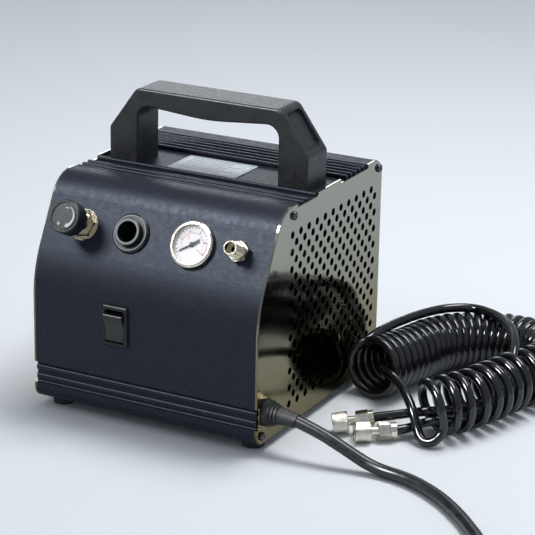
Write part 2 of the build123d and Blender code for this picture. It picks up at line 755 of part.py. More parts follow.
with BuildPart() as air_tube_delivery:
    rod_along(
        [
            (pump_x, motor_y - head_side / 2, port_z),
            (pump_x, 56, port_z),
            (knob_x, 56, 98.6),
            (knob_x, 46.7, 103.4),
        ],
        [8, 5],
        pipe_radius,
    )
finish(air_tube_delivery.part, "air_tube_delivery")

outlet_end = panel_plane(outlet_x, -outlet_inner, outlet_rise).origin
with BuildPart() as air_tube_outlet:
    rod_along(
        [
            (knob_x + 13, 38.6, 107.6),
            (knob_x + 19, 38.6, 107.6),
            (knob_x + 19, pipe_y, pipe_z),
            (gauge_x - 5, pipe_y, pipe_z),
        ],
        [4, 6],
        pipe_radius,
    )
    rod_along(
        [
            (gauge_x + 5, pipe_y, pipe_z),
            (outlet_x, pipe_y, pipe_z),
            (outlet_x, pipe_y, outlet_end.Z - foot_height - 7),
        ],
        [8],
        pipe_radius,
    )
    ring(panel_plane(outlet_x, -outlet_inner - 10, outlet_rise), 6, 0, 10)
finish(air_tube_outlet.part, "air_tube_outlet")

with BuildPart() as air_tee:
    ring(Plane(origin=at(gauge_x - 5, pipe_y, pipe_z), x_dir=(0, 1, 0), z_dir=(1, 0, 0)), 4.5, 0, 10)
    ring(level_plane(pipe_z, gauge_x, pipe_y), 3.6, 0, tee_rise)
finish(air_tee.part, "air_tee")

# ---------------------------------------------------------------- motor mounting and capacitor
cradle_top = motor_z - motor_half
with BuildPart() as motor_cradle:
    with BuildSketch(level_plane(cradle_top - 2.5)):
        with Locations((10, motor_y)):
            RectangleRounded(92, 78, 4)
        with Locations((10, motor_y)):
            RectangleRounded(50, 40, 6, mode=Mode.SUBTRACT)
    extrude(amount=2.5)
finish(motor_cradle.part, "motor_cradle")

with BuildPart() as rubber_mounts:
    for dx in (-36, 36):
        for dy in (-30, 30):
            ring(level_plane(wall + base_thickness, 10 + dx, motor_y + dy), 7, 0, cradle_top - 2.5 - 4.5)
finish(rubber_mounts.part, "rubber_mounts")

with BuildPart() as run_capacitor:
    ring(across(-10, 153, 24), 13, 0, 55)
    with BuildSketch(level_plane(wall + base_thickness)):
        with Locations((17, 153)):
            Rectangle(24, 14)
    extrude(amount=12)
finish(run_capacitor.part, "run_capacitor")

# ---------------------------------------------------------------- mains cord
cord_exit = (104.0, gland_place[0], 18.1)
with BuildPart() as mains_gland:
    ring(across(78, *gland_place), 7.9, 0, 3)
    ring(across(79, *gland_place), gland_neck, 0, 4)
    ring(across(case_width / 2, *gland_place), 8.6, 0, 3.2)
    for rib in range(3):
        ring(across(case_width / 2 + 3.2 + 2.2 * rib, *gland_place), 8.0 - 0.8 * rib, 0, 1.4)
        ring(across(case_width / 2 + 4.6 + 2.2 * rib, *gland_place), 7.0 - 0.8 * rib, 0, 0.8)
    with BuildSketch(across(case_width / 2 + 9.8, *gland_place)):
        Circle(5.7)
    with BuildSketch(Plane(origin=at(*cord_exit), z_dir=(0.98, 0, -0.2))):
        Circle(4.7)
    loft()
finish(mains_gland.part, "mains_gland")


def free_cord(points, diameter, name):
    """Tube of a freely lying cord, every bend as wide as its two runs allow; returns its length."""
    places = [at(*p) for p in points]
    runs = [b - a for a, b in zip(places, places[1:])]
    radii = []
    for before, after in zip(runs, runs[1:]):
        turn = radians(before.get_angle(after))
        radii.append(0.45 * min(before.length, after.length) / tan(turn / 2))
    with BuildPart() as tube:
        length = rod_along(points, radii, diameter / 2)
    section = pi * diameter**2 / 4
    print(
        f"{name}: length {length:.1f}, radii {[round(r) for r in radii]},",
        f"volume {tube.part.volume / (section * length):.3f} of section x length",
    )
    finish(tube.part, name)
    return length


on_floor = cord_diameter / 2 - foot_height
cord_route = [
    cord_exit,
    (118, 13, 14.8),
    (136, 13.2, 7.4),
    (157, 14, on_floor),
    (181, 11.5, on_floor),
    (205, -0.5, on_floor),
    (227, -18.5, on_floor),
    (249, -42, on_floor),
    (269, -66.5, on_floor),
    (285.1, -89.4, on_floor),
]
visible_length = free_cord(cord_route, cord_diameter, "mains_cord")

coil_radius = 46.0  # mean radius of the put-away turns
coil_columns, coil_layers = 3, 2
entry_angle = radians(35)  # where the cord runs into the outermost turn
outer_turn = coil_radius + cord_diameter
coil_edge = outer_turn + cord_diameter / 2
entry_run = (coil_edge**2 - outer_turn**2) ** 0.5
coil_centre = (
    cord_route[-1][0] - outer_turn * cos(entry_angle) + entry_run * sin(entry_angle),
    cord_route[-1][1] - outer_turn * sin(entry_angle) - entry_run * cos(entry_angle),
)
print("coil centre", coil_centre, "turns", (mains_length - visible_length) / (2 * pi * coil_radius))
with BuildPart() as mains_cord_coil:
    coil_floor = level_plane(-foot_height, *coil_centre)
    ring(coil_floor, coil_edge, 2 * coil_radius - coil_edge, coil_layers * cord_diameter)
finish(mains_cord_coil.part, "mains_cord_coil")

plug_tilt = radians(7)
relief_length, grip_end, plug_face = 34.0, 42.0, 64.0
plug_rear = (coil_centre[0] - entry_run - 4, coil_centre[1] - outer_turn, 12.3 - foot_height)
plug_axis = Plane(origin=at(*plug_rear), x_dir=(0, 1, 0), z_dir=(-cos(plug_tilt), 0, sin(plug_tilt)))
with BuildPart() as mains_plug:
    with BuildSketch(plug_axis):
        Circle(4.7)
    with BuildSketch(plug_axis.offset(relief_length)):
        Circle(6.6)
    loft()
    with BuildSketch(plug_axis.offset(relief_length)):
        Circle(11)
    with BuildSketch(plug_axis.offset(grip_end)):
        Circle(15)
    loft()
    ring(plug_axis.offset(grip_end), 17.5, 0, plug_face - grip_end)
    with BuildSketch(plug_axis.offset(plug_face)):
        with GridLocations(0, 19, 1, 2):
            Circle(2.4)
    extrude(amount=19)
finish(mains_plug.part, "mains_plug")

# ---------------------------------------------------------------- coiled air hose with its two fittings
hose_radius = hose_diameter / 2
hose_coil_z = hose_coil_diameter / 2 - foot_height
hose_axis = [
    (104.5, 131.3, hose_coil_z),
    (112, 162, hose_coil_z),
    (118, 190, hose_coil_z),
    (135, 212, hose_coil_z),
    (158, 222, hose_coil_z),
    (185, 220, hose_coil_z),
    (203, 205, hose_coil_z),
    (203, 185, hose_coil_z),
    (192, 160, hose_coil_z),
    (184, 130, hose_coil_z),
    (176, 104, hose_coil_z),
    (163, 83, hose_coil_z),
]
free_cord(hose_axis, hose_coil_diameter, "hose_coil")

over_route = [
    (188, 160, 27),
    (186, 169, 33),
    (176, 190, 38),
    (160, 208, 39),
    (139, 217, 39),
    (121, 210, 38),
    (109, 192, 37),
    (101, 168, 36.5),
    (97, 150, 33.5),
    (93.8, 137, 28.6),
]
free_cord(over_route, hose_diameter, "hose_over")

bridge_route = [
    (177.5, 74.8, 5),
    (175, 66, -2),
    (165, 66.5, -3.1),
    (159.5, 72, 2.5),
    (154.3, 77.2, 11),
    (148.5, 83, 16),
    (140, 91.5, 19.8),
    (129.5, 102, 21.2),
    (118.5, 113, 19.8),
    (110, 122.5, 16.8),
    (105.2, 131, 13.6),
]
free_cord(bridge_route, hose_diameter, "hose_bridge")

nut_radius, nut_length = 6.75, 10.0
nut_tilt = 10.0  # end A leans up, end B lies level
nut_z = nut_radius - foot_height + 0.02
tilted_nut_z = nut_radius * cos(radians(nut_tilt)) + nut_length / 2 * sin(radians(nut_tilt)) - foot_height + 0.02
stem_radius, ferrule_start, fitting_length = 3.05, 10.3, 21.8
mouth = -nut_length / 2  # the nut's open end, measured from its middle
thread_length, seat_gap = 4.0, 0.4
seat = mouth + thread_length + seat_gap
fitting_axes = {
    "a": Plane(
        origin=at(110.8, 61.0, tilted_nut_z),
        x_dir=(0.457, -0.889, 0),
        z_dir=(0.889, 0.457, tan(radians(nut_tilt))),
    ),
    "b": Plane(origin=at(128.6, 56.1, nut_z), x_dir=(0.6, -0.8, 0), z_dir=(0.8, 0.6, 0)),
}
with BuildPart() as hose_fittings:
    for axis in fitting_axes.values():
        ring(axis.offset(seat), 4.3, 1.6, 3.2)
        ring(axis.offset(seat), stem_radius, 1.6, ferrule_start - seat)
        with BuildSketch(axis.offset(ferrule_start)):
            RegularPolygon(5.25, 6, major_radius=False)
        extrude(amount=8)
        ring(axis.offset(ferrule_start + 8), 5.2, 0, fitting_length - ferrule_start - 8)
finish(hose_fittings.part, "hose_fittings")

for end, axis in fitting_axes.items():
    with BuildPart() as hose_nut:
        ring(axis.offset(mouth), nut_radius, outlet_thread_radius + running, thread_length)
        ring(axis.offset(mouth + thread_length), nut_radius, 5.3, nut_length - 2 - thread_length)
        ring(axis.offset(nut_length / 2 - 2), nut_radius, stem_radius + running, 2)
        rims = hose_nut.edges().filter_by(GeomType.CIRCLE).filter_by(lambda e: e.radius > 6)
        chamfer(rims, 0.5)
    finish(hose_nut.part, f"hose_nut_{end}")

hose_starts = {end: axis.offset(fitting_length).origin for end, axis in fitting_axes.items()}
lead_middles = {
    "a": [(143.5, 79.2, 7.3), (157, 88.2, 9)],
    "b": [(151.5, 75.3, 0.2), (160.5, 84.5, 4.2)],
}
for end, middle in lead_middles.items():
    start = hose_starts[end] - at(0, 0, 0)
    free_cord([(start.X, start.Y, start.Z), *middle], hose_diameter, f"hose_lead_{end}")
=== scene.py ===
"""Looks of the small airbrush compressor: camera, light, materials, cords and fine detail.
Lengths are in millimetres in "case" coordinates until case() or on_panel() turns them into the
row frame's metres: x from the middle, y behind the front wall, z above the case's underside."""

from math import ceil, cos, pi, radians, sin, sqrt, tan

import bmesh
import bpy
from mathutils import Matrix, Vector


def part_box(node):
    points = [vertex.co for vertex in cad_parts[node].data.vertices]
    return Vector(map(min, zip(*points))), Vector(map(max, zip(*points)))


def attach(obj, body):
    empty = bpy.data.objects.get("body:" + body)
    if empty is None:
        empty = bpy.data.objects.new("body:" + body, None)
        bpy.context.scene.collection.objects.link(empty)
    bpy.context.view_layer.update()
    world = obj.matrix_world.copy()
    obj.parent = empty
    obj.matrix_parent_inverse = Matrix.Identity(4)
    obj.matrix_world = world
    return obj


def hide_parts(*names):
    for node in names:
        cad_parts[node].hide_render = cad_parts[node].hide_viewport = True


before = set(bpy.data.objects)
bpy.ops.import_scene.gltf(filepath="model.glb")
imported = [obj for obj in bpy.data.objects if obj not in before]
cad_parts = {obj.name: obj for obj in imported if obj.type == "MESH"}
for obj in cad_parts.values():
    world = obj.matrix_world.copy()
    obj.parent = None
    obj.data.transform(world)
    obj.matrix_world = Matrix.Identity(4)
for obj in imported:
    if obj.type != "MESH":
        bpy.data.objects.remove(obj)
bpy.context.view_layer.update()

MM = 0.001
scene = bpy.context.scene
ROOT = "compressor"

# ---------------------------------------------------------------- places taken from the frame
plate_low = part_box("end_plate_right")[0]
FRONT, UNDERSIDE = plate_low.y, plate_low.z
LEAN = radians(27.5)
PANEL_BEND, FITTING_LINE = 87.6, 119.2
KNOB_X, HOLDER_X, GAUGE_X, OUTLET_X = -53.5, -18.0, 26.8, 60.5
OUTLET_RISE = 0.9


def case(x, y, z):
    return Vector((x * MM, FRONT + y * MM, UNDERSIDE + z * MM))


def on_panel(x, out=0.0, rise=0.0):
    """Matrix of a frame on the leaning panel: x to the right, y up the panel, z out of it."""
    y = (FITTING_LINE - PANEL_BEND) * tan(LEAN) + rise * sin(LEAN) - out * cos(LEAN)
    place = case(x, y, FITTING_LINE + rise * cos(LEAN) + out * sin(LEAN))
    turn = Matrix(((1, 0, 0), (0, sin(LEAN), -cos(LEAN)), (0, cos(LEAN), sin(LEAN))))
    return Matrix.Translation(place) @ turn.to_4x4()


def along(start, direction):
    """Matrix of a frame at start whose z axis points in direction."""
    return Matrix.Translation(start) @ direction.to_track_quat("Z", "Y").to_matrix().to_4x4()


# ---------------------------------------------------------------- node materials
class Shader:
    """A Principled material that is put together from a few node recipes."""

    def __init__(self, name, colour, roughness, metallic=0.0, **sockets):
        self.material = bpy.data.materials.new(name)
        self.material.use_nodes = True
        self.tree = self.material.node_tree
        self.bsdf = self.tree.nodes["Principled BSDF"]
        self.bsdf.inputs["Base Color"].default_value = (*colour, 1)
        self.bsdf.inputs["Roughness"].default_value = roughness
        self.bsdf.inputs["Metallic"].default_value = metallic
        for socket, value in sockets.items():
            self.bsdf.inputs[socket.replace("_", " ")].default_value = value
        self.place = self.node("ShaderNodeTexCoord").outputs["Object"]
        self.normal = None

    def node(self, kind, **settings):
        made = self.tree.nodes.new(kind)
        for key, value in settings.items():
            if key in made.inputs:
                made.inputs[key].default_value = value
            else:
                setattr(made, key, value)
        return made

    def link(self, output, target):
        self.tree.links.new(output, target)

    def stretched(self, factors):
        mapping = self.node("ShaderNodeMapping")
        mapping.inputs["Scale"].default_value = factors
        self.link(self.place, mapping.inputs["Vector"])
        return mapping.outputs["Vector"]

    def noise(self, scale, detail=3.0, stretch=None):
        """Noise of about 1 / scale metres grain."""
        made = self.node("ShaderNodeTexNoise", Scale=scale, Detail=detail)
        self.link(self.stretched(stretch) if stretch else self.place, made.inputs["Vector"])
        return made.outputs["Fac"]

    def ramp(self, source, stops):
        """Colour ramp from (position, colour) pairs."""
        made = self.node("ShaderNodeValToRGB")
        elements = made.color_ramp.elements
        while len(elements) < len(stops):
            elements.new(0.5)
        for element, (position, colour) in zip(elements, stops):
            element.position = position
            element.color = (*colour, 1)
        self.link(source, made.inputs["Fac"])
        return made.outputs["Color"]

    def spread(self, source, low, high):
        """Maps the middle of a noise to the range low to high."""
        made = self.node("ShaderNodeMapRange", **{"From Min": 0.3, "From Max": 0.7})
        made.inputs["To Min"].default_value = low
        made.inputs["To Max"].default_value = high
        self.link(source, made.inputs["Value"])
        return made.outputs["Result"]

    def colour_from(self, source, low, high, low_at=0.35, high_at=0.65):
        stops = [(low_at, low), (high_at, high)]
        self.link(self.ramp(source, stops), self.bsdf.inputs["Base Color"])

    def roughness_from(self, source, low, high):
        self.link(self.spread(source, low, high), self.bsdf.inputs["Roughness"])

    def bump(self, source, height_mm, strength=1.0):
        """Adds relief of that height; several calls stack."""
        made = self.node("ShaderNodeBump", Distance=height_mm * MM, Strength=strength)
        self.link(source, made.inputs["Height"])
        if self.normal:
            self.link(self.normal, made.inputs["Normal"])
        self.normal = made.outputs["Normal"]
        self.link(self.normal, self.bsdf.inputs["Normal"])


def powder_coat():
    """Dark blue-violet textured powder coat with a fine sparkle."""
    shader = Shader("powder_coat", (0.008, 0.010, 0.02), 0.5, Specular_IOR_Level=0.32)
    shader.bsdf.inputs["Specular Tint"].default_value = (0.72, 0.82, 1.0, 1)
    grain = shader.noise(1000, 3.0)
    shader.colour_from(grain, (0.001, 0.002, 0.004), (0.012, 0.014, 0.029), 0.35, 0.68)
    shader.roughness_from(shader.noise(260), 0.44, 0.54)
    shader.bump(grain, 0.12, 0.9)
    shader.bump(shader.noise(1700, 2.0), 0.08, 0.5)
    return shader.material


def mirror_steel():
    """Polished plate with hairline scratches and faint finger marks, its colour a painted reflection:
    golden-brown low on the plate, grey higher up.
    """
    shader = Shader("mirror_steel", (0.26, 0.26, 0.21), 0.07, 1.0)
    scratches = shader.noise(2600, 2.0, (1, 0.03, 1))
    shader.roughness_from(shader.noise(38), 0.05, 0.12)
    # Painted reflection: the base colour runs from dark golden-brown at the plate's bottom to grey at its
    # top, standing in for what the mirror reflects.
    height = shader.node("ShaderNodeSeparateXYZ")
    shader.link(shader.place, height.inputs["Vector"])
    stops = [(0.0, (0.13, 0.105, 0.038)), (0.045, (0.16, 0.14, 0.07)), (0.10, (0.22, 0.225, 0.18)),
             (0.16, (0.27, 0.28, 0.24))]
    shader.link(shader.ramp(height.outputs["Z"], stops), shader.bsdf.inputs["Base Color"])
    shader.bump(scratches, 0.006, 0.35)
    return shader.material


def moulded(name, colour, roughness, grain=900, relief=0.05, specular=0.5):
    """Black plastic with the grain of its mould."""
    shader = Shader(name, colour, roughness, Specular_IOR_Level=specular)
    lighter = tuple(1.7 * c + 0.002 for c in colour)
    shader.colour_from(shader.noise(grain / 6), colour, lighter)
    shader.roughness_from(shader.noise(grain / 3), roughness * 0.85, roughness * 1.2)
    shader.bump(shader.noise(grain, 2.0), relief, 0.6)
    return shader.material


def plated(name, colour, roughness, streak=(1, 1, 1)):
    """Plated or machined metal, a little uneven."""
    shader = Shader(name, colour, roughness, 1.0)
    darker = tuple(0.78 * c for c in colour)
    shader.colour_from(shader.noise(420), darker, colour)
    shader.roughness_from(shader.noise(700), roughness * 0.7, roughness * 1.4)
    shader.bump(shader.noise(1800, 2.0, streak), 0.012, 0.5)
    return shader.material


def cast_metal():
    shader = Shader("cast_metal", (0.55, 0.56, 0.57), 0.45, 1.0)
    shader.colour_from(shader.noise(160), (0.42, 0.43, 0.44), (0.6, 0.61, 0.62))
    shader.bump(shader.noise(650), 0.12, 0.8)
    return shader.material


def laminated_core():
    """Varnished sheets stacked along x, 0.5 mm each."""
    shader = Shader("laminated_core", (0.2, 0.21, 0.22), 0.4, 0.9)
    sheets = shader.node("ShaderNodeTexWave", Scale=320.0, Distortion=0.0)
    shader.link(shader.place, sheets.inputs["Vector"])
    shader.colour_from(sheets.outputs["Fac"], (0.10, 0.11, 0.12), (0.27, 0.28, 0.30))
    shader.bump(sheets.outputs["Fac"], 0.08, 0.7)
    return shader.material


def enamelled_wire():
    """Copper turns wound round the x axis."""
    shader = Shader("enamelled_wire", (0.55, 0.22, 0.09), 0.32, 0.9)
    turns = shader.node("ShaderNodeTexWave", Scale=200.0, Distortion=1.2)
    shader.link(shader.stretched((1, 0.2, 0.2)), turns.inputs["Vector"])
    shader.colour_from(turns.outputs["Fac"], (0.30, 0.10, 0.04), (0.66, 0.29, 0.13))
    shader.bump(turns.outputs["Fac"], 0.2, 0.8)
    return shader.material


def hose_skin():
    """Glossy polyurethane with a thin haze."""
    shader = Shader("hose_skin", (0.006, 0.007, 0.009), 0.13, Specular_IOR_Level=0.6)
    haze = shader.noise(140)
    shader.colour_from(haze, (0.004, 0.005, 0.006), (0.011, 0.013, 0.016))
    shader.roughness_from(haze, 0.09, 0.2)
    shader.bump(shader.noise(500), 0.02, 0.3)
    return shader.material


def cord_sheath():
    """Semi-gloss PVC."""
    shader = Shader("cord_sheath", (0.010, 0.012, 0.016), 0.3, Specular_IOR_Level=0.55)
    patches = shader.noise(180)
    shader.colour_from(patches, (0.007, 0.009, 0.012), (0.017, 0.020, 0.025))
    shader.roughness_from(patches, 0.24, 0.38)
    shader.bump(shader.noise(900), 0.03, 0.4)
    return shader.material


def printed_label():
    """Grey printed film with rows of illegible fine print as a bare tone."""
    shader = Shader("printed_label", (0.42, 0.47, 0.52), 0.42)
    shader.colour_from(shader.noise(520, 4.0), (0.33, 0.38, 0.43), (0.5, 0.55, 0.6))
    shader.bump(shader.noise(800), 0.02, 0.4)
    return shader.material


def dial_card():
    shader = Shader("dial_card", (0.86, 0.85, 0.86), 0.5)
    shader.colour_from(shader.noise(700), (0.80, 0.79, 0.80), (0.90, 0.89, 0.90))
    return shader.material


def lens_glass():
    shader = Shader("lens_glass", (1, 1, 1), 0.03, Transmission_Weight=1.0, IOR=1.45)
    shader.bump(shader.noise(60), 0.004, 0.2)
    return shader.material


def ink(name, colour, roughness=0.45):
    """Print or paint, with a little of its ground showing through."""
    shader = Shader(name, colour, roughness)
    worn = tuple(0.82 * c + 0.02 for c in colour)
    shader.colour_from(shader.noise(1500), worn, colour)
    return shader.material


coat = powder_coat()
steel_mirror = mirror_steel()
handle_plastic = moulded("handle_plastic", (0.012, 0.014, 0.017), 0.42, 1100, 0.06)
satin_plastic = moulded("satin_plastic", (0.006, 0.008, 0.010), 0.34, specular=0.3)
gloss_plastic = moulded("gloss_plastic", (0.007, 0.008, 0.009), 0.2, 900, 0.02)
rubber_skin = moulded("rubber_skin", (0.010, 0.011, 0.012), 0.55, 700, 0.09)
nickel = plated("nickel", (0.80, 0.76, 0.66), 0.16)
zinc = plated("zinc", (0.56, 0.57, 0.56), 0.34)
machined = plated("machined", (0.46, 0.46, 0.48), 0.28, (1, 1, 6))
turned_brass = plated("turned_brass", (0.72, 0.53, 0.24), 0.24)
black_screw = plated("black_screw", (0.11, 0.115, 0.12), 0.3)
cast = cast_metal()
core = laminated_core()
wire = enamelled_wire()
warm_nickel = plated("warm_nickel", (0.72, 0.67, 0.52), 0.14)
hose_black = hose_skin()
cord_black = cord_sheath()
label_film = printed_label()
dial_white = dial_card()
clear_glass = lens_glass()
white_ink = ink("white_ink", (0.85, 0.87, 0.88))
black_ink = ink("black_ink", (0.02, 0.02, 0.022))
red_ink = ink("red_ink", (0.50, 0.035, 0.03))
# Painted highlight colour for the pale rings on the airbrush holder's chamfered edges.
collar_highlight_ink = ink("collar_highlight_grey", (0.085, 0.10, 0.115), 0.35)
label_ink = ink("label_ink", (0.16, 0.18, 0.20))
strap = moulded("strap_weave", (0.012, 0.012, 0.013), 0.75, 1400, 0.15)

node_materials = {
    coat: ["case_shell"],
    steel_mirror: ["end_plate_left", "end_plate_right"],
    handle_plastic: ["handle"],
    satin_plastic: ["regulator_knob", "airbrush_holder", "power_switch", "cooling_fan", "intake_filter"],
    gloss_plastic: ["power_rocker", "run_capacitor"],
    rubber_skin: ["feet", "rubber_mounts", "mains_gland", "mains_plug"],
    nickel: ["gauge_case", "hose_fittings", "hose_nut_a", "hose_nut_b"],
    warm_nickel: ["regulator_nut", "regulator_bonnet", "outlet_fitting", "outlet_locknut"],
    zinc: ["base_plate", "foot_screws", "handle_screws", "head_bolts", "motor_cradle"],
    black_screw: ["end_plate_screws"],
    black_ink: ["gauge_pointer"],
    machined: ["adjusting_screw", "regulator_spring", "motor_rotor", "motor_shaft", "motor_bearings",
               "crank_web", "valve_plate"],
    core: ["motor_stator"],
    wire: ["motor_windings", "air_tube_delivery", "air_tube_outlet"],
    cast: ["motor_bell_left", "motor_bell_right", "crankcase_bracket", "connecting_rod", "piston",
           "cylinder", "cylinder_head"],
    turned_brass: ["regulator_body", "air_tee"],
    label_film: ["label_plate"],
    dial_white: ["gauge_dial"],
    clear_glass: ["gauge_lens"],
    hose_black: ["hose_coil", "hose_over", "hose_bridge", "hose_lead_a", "hose_lead_b"],
    cord_black: ["mains_cord", "mains_cord_coil"],
}
for material, names in node_materials.items():
    for name in names:
        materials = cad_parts[name].data.materials
        materials.clear()
        materials.append(material)

plug_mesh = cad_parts["mains_plug"].data
plug_mesh.materials.append(nickel)
PIN_LENGTH = 19 * MM
pins_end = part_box("mains_plug")[0].x + PIN_LENGTH
for polygon in plug_mesh.polygons:
    polygon.material_index = int(polygon.center.x < pins_end)


# ---------------------------------------------------------------- mesh helpers
def piece(name, mesh, material, body, slot, *nodes):
    """A finished mesh as a named piece that rides on body and stands for nodes."""
    made = bpy.data.objects.new(name, mesh)
    scene.collection.objects.link(made)
    mesh.materials.append(material)
    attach(made, body)
    if nodes:
        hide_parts(*nodes)
    return made


def to_mesh(name, bm, matrix, sharp_angle=35):
    """Closes the bmesh: recalculated normals, smooth faces, sharp edges kept."""
    bmesh.ops.recalc_face_normals(bm, faces=bm.faces)
    bm.transform(matrix)
    mesh = bpy.data.meshes.new(name)
    bm.to_mesh(mesh)
    bm.free()
    mesh.shade_smooth()
    mesh.set_sharp_from_angle(angle=radians(sharp_angle))
    return mesh


def turned(bm, profile, segments=72, radius_at=None):
    """Adds the closed ring swept by profile, a closed loop of (radius, height) in millimetres.
    radius_at(angle, radius, height) may reshape each point."""
    rings = []
    for i in range(segments):
        angle = 2 * pi * i / segments
        row = []
        for radius, height in profile:
            r = (radius_at(angle, radius, height) if radius_at else radius) * MM
            row.append(bm.verts.new((r * cos(angle), r * sin(angle), height * MM)))
        rings.append(row)
    count = len(profile)
    for i, row in enumerate(rings):
        following = rings[(i + 1) % segments]
        for j in range(count):
            k = (j + 1) % count
            bm.faces.new((row[j], following[j], following[k], row[k]))


def plate(bm, outline, low, high):
    """Adds a flat plate with that outline between two heights, all in millimetres."""
    bottom = [bm.verts.new((x * MM, y * MM, low * MM)) for x, y in outline]
    top = [bm.verts.new((x * MM, y * MM, high * MM)) for x, y in outline]
    bm.faces.new(bottom[::-1])
    bm.faces.new(top)
    count = len(outline)
    for i in range(count):
        k = (i + 1) % count
        bm.faces.new((bottom[i], bottom[k], top[k], top[i]))


def arc_points(radius, start, end, steps):
    """Points on a circle from one angle in degrees to another, centred on the frame's axis."""
    angles = [radians(start + (end - start) * i / steps) for i in range(steps + 1)]
    return [(radius * cos(a), radius * sin(a)) for a in angles]


def band(bm, inner, outer, start, end, low, high, steps=24):
    """Adds part of a flat ring; inner and outer may each be a (start, end) pair of radii."""
    inner, outer = (r if isinstance(r, tuple) else (r, r) for r in (inner, outer))
    outline = []
    for pair, order in ((inner, range(steps + 1)), (outer, range(steps, -1, -1))):
        for i in order:
            angle = radians(start + (end - start) * i / steps)
            radius = pair[0] + (pair[1] - pair[0]) * i / steps
            outline.append((radius * cos(angle), radius * sin(angle)))
    plate(bm, outline, low, high)


def bar(bm, centre, length, width, angle, low, high):
    """Adds a small rectangular mark, turned by angle in degrees."""
    turn = radians(angle)
    outline = []
    for u, v in ((-1, -1), (1, -1), (1, 1), (-1, 1)):
        x, y = u * length / 2, v * width / 2
        outline.append((centre[0] + x * cos(turn) - y * sin(turn), centre[1] + x * sin(turn) + y * cos(turn)))
    plate(bm, outline, low, high)


# ---------------------------------------------------------------- cords
def line_object(name, points, radius=0.0, resolution=4):
    """One open NURBS spline with these control points, in the row frame."""
    curve = bpy.data.curves.new(name, "CURVE")
    curve.dimensions = "3D"
    spline = curve.splines.new("NURBS")
    spline.points.add(len(points) - 1)
    for control, place in zip(spline.points, points):
        control.co = (*place, 1)
    spline.order_u = 3
    spline.use_endpoint_u = True
    spline.resolution_u = resolution
    curve.resolution_u = resolution
    curve.bevel_depth = radius
    curve.bevel_resolution = 6
    curve.use_fill_caps = True
    made = bpy.data.objects.new(name, curve)
    scene.collection.objects.link(made)
    return made


def read_line(points):
    """The points of the smooth line that those control points give."""
    made = line_object("read_line", points, resolution=12)
    mesh = bpy.data.meshes.new_from_object(made)
    line = [v.co.copy() for v in mesh.vertices]
    curve = made.data
    bpy.data.objects.remove(made)
    bpy.data.curves.remove(curve)
    bpy.data.meshes.remove(mesh)
    return line


class Axis:
    """A line that gives its place and heading at a distance along it."""

    def __init__(self, line):
        self.line = line
        self.reach = [0.0]
        for a, b in zip(line, line[1:]):
            self.reach.append(self.reach[-1] + (b - a).length)
        self.length = self.reach[-1]

    def at(self, distance):
        """(place, heading); beyond either end the line goes straight on."""
        i = 0
        while i < len(self.line) - 2 and self.reach[i + 1] < distance:
            i += 1
        heading = (self.line[i + 1] - self.line[i]).normalized()
        return self.line[i] + heading * (distance - self.reach[i]), heading

    def beside(self, distance, right, up):
        """A place to the right of the line and above it, looking along it."""
        place, heading = self.at(distance)
        across = heading.cross(Vector((0, 0, 1))).normalized()
        return place + across * right + Vector((0, 0, up))


CORD_DIAMETER = 8.0
CORD_EXIT = (104.0, 13.0, 18.1)
cord_floor = CORD_DIAMETER / 2 - UNDERSIDE / MM
cord_route = [
    CORD_EXIT,
    (118, 13, 14.8),
    (136, 13.2, 7.4),
    (157, 14, cord_floor),
    (181, 11.5, cord_floor),
    (205, -0.5, cord_floor),
    (227, -18.5, cord_floor),
    (249, -42, cord_floor),
    (269, -66.5, cord_floor),
    (285.1, -89.4, cord_floor),
]
COIL_RADIUS, COIL_COLUMNS, POINTS_PER_TURN = 46.0, 3, 16
outer_turn = COIL_RADIUS + CORD_DIAMETER
entry_angle, leave_angle = radians(35), radians(270)
coil_edge = outer_turn + CORD_DIAMETER / 2
entry_run = sqrt(coil_edge**2 - outer_turn**2)
coil_centre = (
    cord_route[-1][0] - outer_turn * cos(entry_angle) + entry_run * sin(entry_angle),
    cord_route[-1][1] - outer_turn * sin(entry_angle) - entry_run * cos(entry_angle),
)
CORD_TURNS = 5 + (entry_angle - leave_angle + 2 * pi) / (2 * pi)


def coil_turns():
    """Put-away turns, wound inwards on the floor and back outwards on top of themselves."""
    steps = round(CORD_TURNS * POINTS_PER_TURN)
    half = CORD_TURNS / 2
    bulge = 1 / cos(pi / POINTS_PER_TURN)
    places = []
    for i in range(steps + 1):
        turn = i / steps * CORD_TURNS
        angle = entry_angle - 2 * pi * turn
        inward = min(turn, CORD_TURNS - turn) / half
        radius = outer_turn - (COIL_COLUMNS - 1) * CORD_DIAMETER * min(1.0, inward * 1.15)
        climb = min(1.0, max(0.0, (turn - half + 0.2) / 0.4))
        height = cord_floor + CORD_DIAMETER * climb
        if 0 < i < steps:
            radius *= bulge if radius * bulge < outer_turn else 1.0
        places.append((coil_centre[0] + radius * cos(angle), coil_centre[1] + radius * sin(angle), height))
    return places


PLUG_GAP = 4.0
upper_layer = cord_floor + CORD_DIAMETER
cord_end = [
    (coil_centre[0] - entry_run / 2, coil_centre[1] - outer_turn, upper_layer),
    (coil_centre[0] - entry_run - PLUG_GAP, coil_centre[1] - outer_turn, upper_layer + 0.3),
]
cord_points = [case(*p) for p in cord_route + coil_turns() + cord_end]
mains_line = line_object("mains_cord_line", cord_points, CORD_DIAMETER / 2 * MM)
mains_line.data.materials.append(cord_black)
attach(mains_line, ROOT)
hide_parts("mains_cord", "mains_cord_coil")

HOSE_DIAMETER = 6.2
HELIX_RADIUS = 16.7
HOSE_COIL_RADIUS = 19.8
hose_coil_z = HOSE_COIL_RADIUS - UNDERSIDE / MM
hose_axis_route = [
    (104.5, 131.3),
    (112, 162),
    (118, 190),
    (135, 212),
    (158, 222),
    (185, 220),
    (203, 205),
    (203, 185),
    (192, 160),
    (184, 130),
    (176, 104),
    (163, 83),
]
axis = Axis(read_line([case(x, y, hose_coil_z) for x, y in hose_axis_route]))

